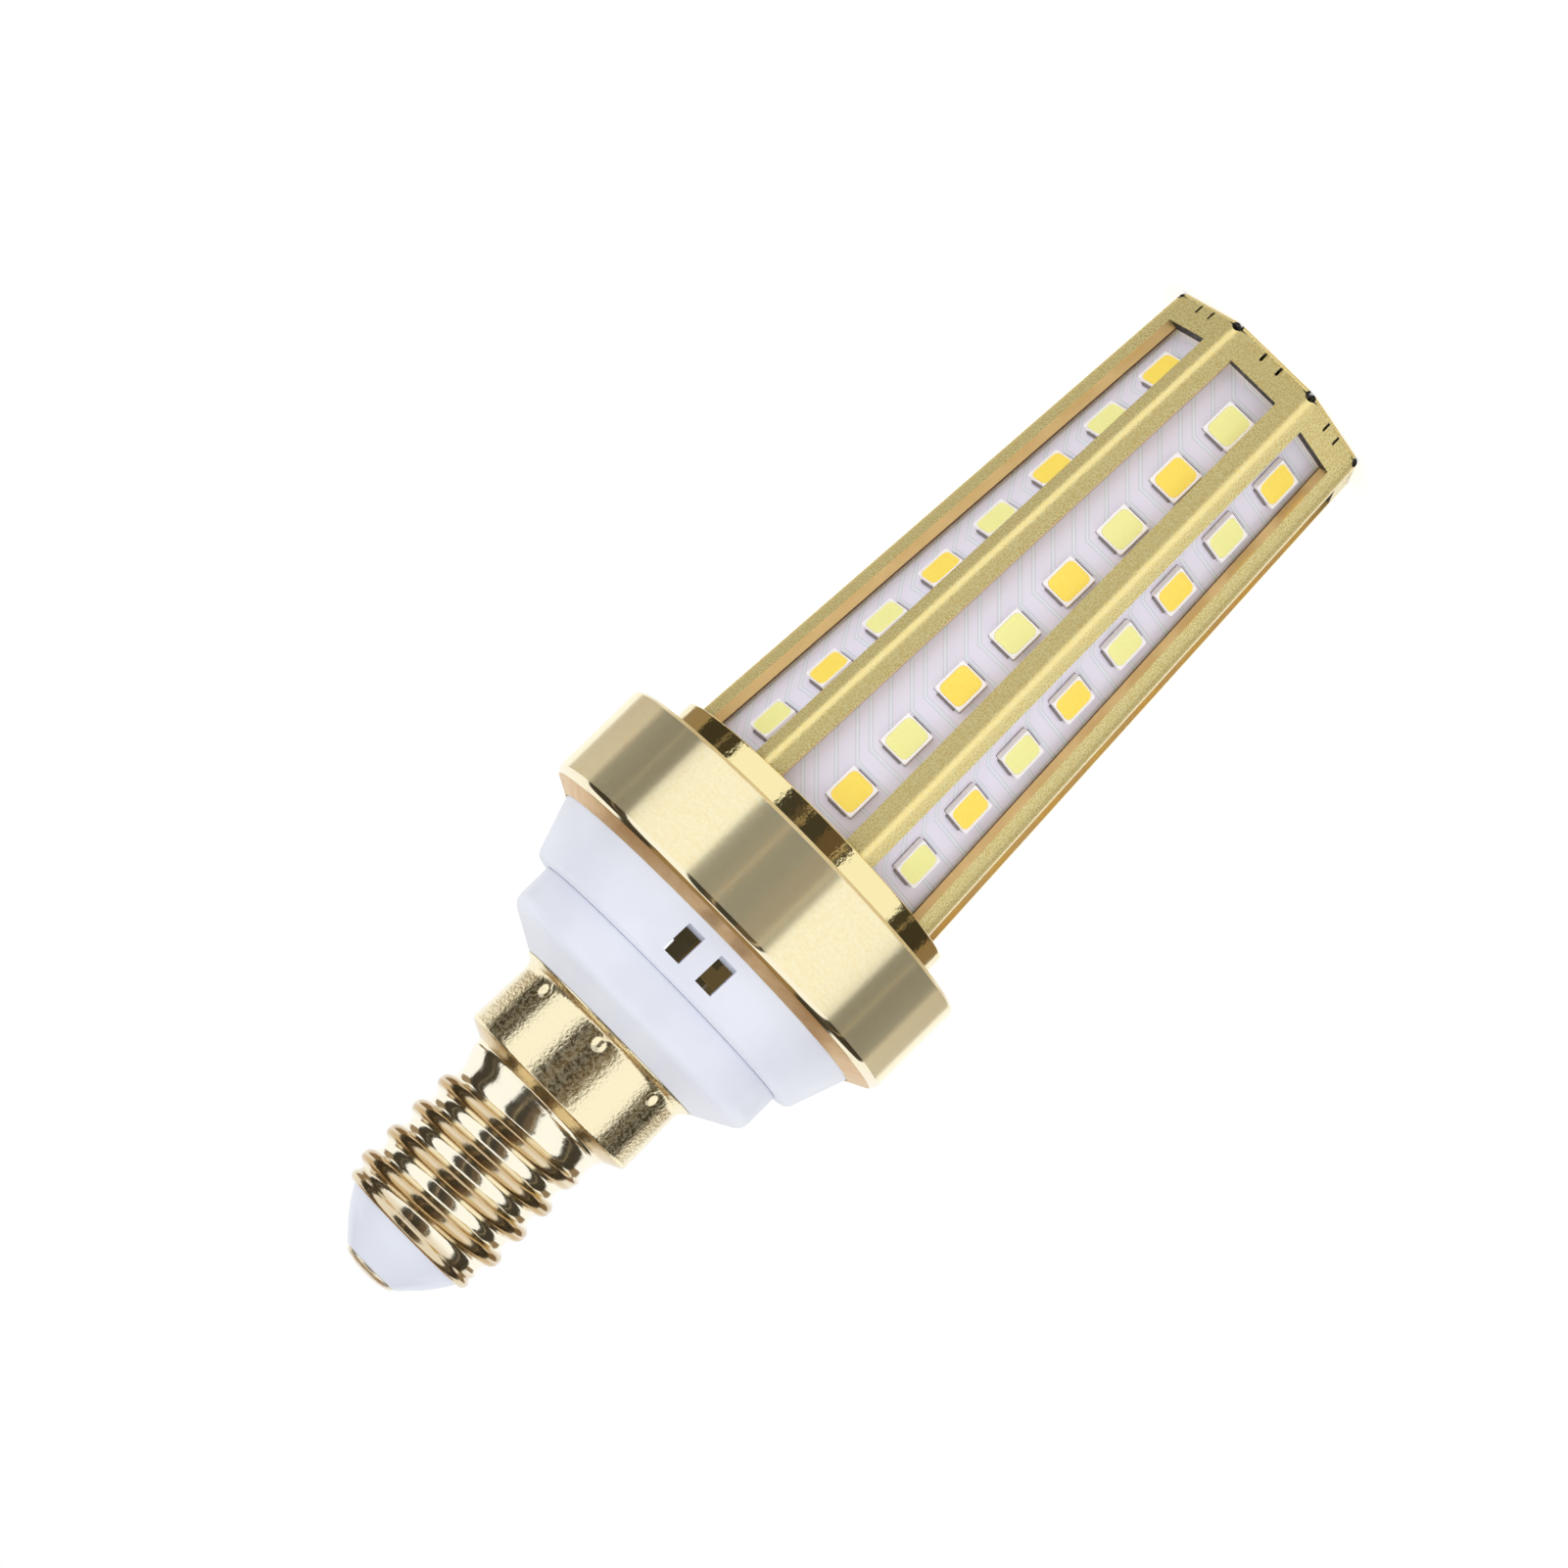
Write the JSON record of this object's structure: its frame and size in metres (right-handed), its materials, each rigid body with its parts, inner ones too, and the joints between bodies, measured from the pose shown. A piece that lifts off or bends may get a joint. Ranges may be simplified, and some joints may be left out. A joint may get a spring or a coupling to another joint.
{
  "type": "corn led bulb",
  "caption": "Corn LED bulb: light board of chip packages in a folded eight-sided window frame, gold collar and trim ring, white shells and a small screw cap.",
  "frame": {"origin": "centre of the flat head face, on the bulb's axis", "axes": "+Z along the axis from the head to the contact of the cap, -Y out of the middle of one window"},
  "size_m": [0.0362, 0.0362, 0.1021],
  "materials": {
    "frame_gold": "matt gold with a fine sand texture",
    "plate_white": "matt white",
    "board_white": "matt white solder mask on aluminium sheet",
    "package_white": "glossy white package",
    "phosphor_warm": "warm yellow silicone",
    "phosphor_cold": "pale yellow silicone",
    "solder": "dark tinned ends",
    "collar_gold": "polished gold plating on plastic",
    "ring_gold": "satin gold, turned",
    "shell_white": "white",
    "cap_gold": "polished gold plating",
    "insulator_white": "white",
    "contact_metal": "polished",
    "circuit_green": "green board",
    "can_black": "black sleeve",
    "winding": "wound drum",
    "film_red": "red-brown dip",
    "chip_black": "black",
    "resistor_body": "cement coat",
    "wire_coat": "silicone coat"
  },
  "bodies": {
    "root": {"window_frame": "frame_gold", "end_plate": "plate_white", "led_board": "board_white", "phosphor_warm": "phosphor_warm", "phosphor_cold": "phosphor_cold", "led_terminals": "solder", "collar_base": "collar_gold", "trim_ring": "ring_gold", "housing_shell": "shell_white", "housing_cup": "shell_white", "screw_cap": "cap_gold", "cap_insulator": "insulator_white", "center_contact": "contact_metal", "driver_board": "circuit_green", "electrolytic_capacitor": "can_black", "inductor": "winding", "film_capacitor": "film_red", "bridge_rectifier": "chip_black", "driver_chip": "chip_black", "fuse_resistor": "resistor_body", "live_wire_board": "wire_coat", "live_wire_contact": "wire_coat", "neutral_wire": "wire_coat", "led_wire_plus": "wire_coat", "led_wire_minus": "wire_coat", "led_row_1": "package_white", "led_row_2": "package_white", "led_row_3": "package_white", "led_row_4": "package_white", "led_row_5": "package_white", "led_row_6": "package_white", "led_row_7": "package_white", "led_row_8": "package_white"}
  },
  "joints": []
}
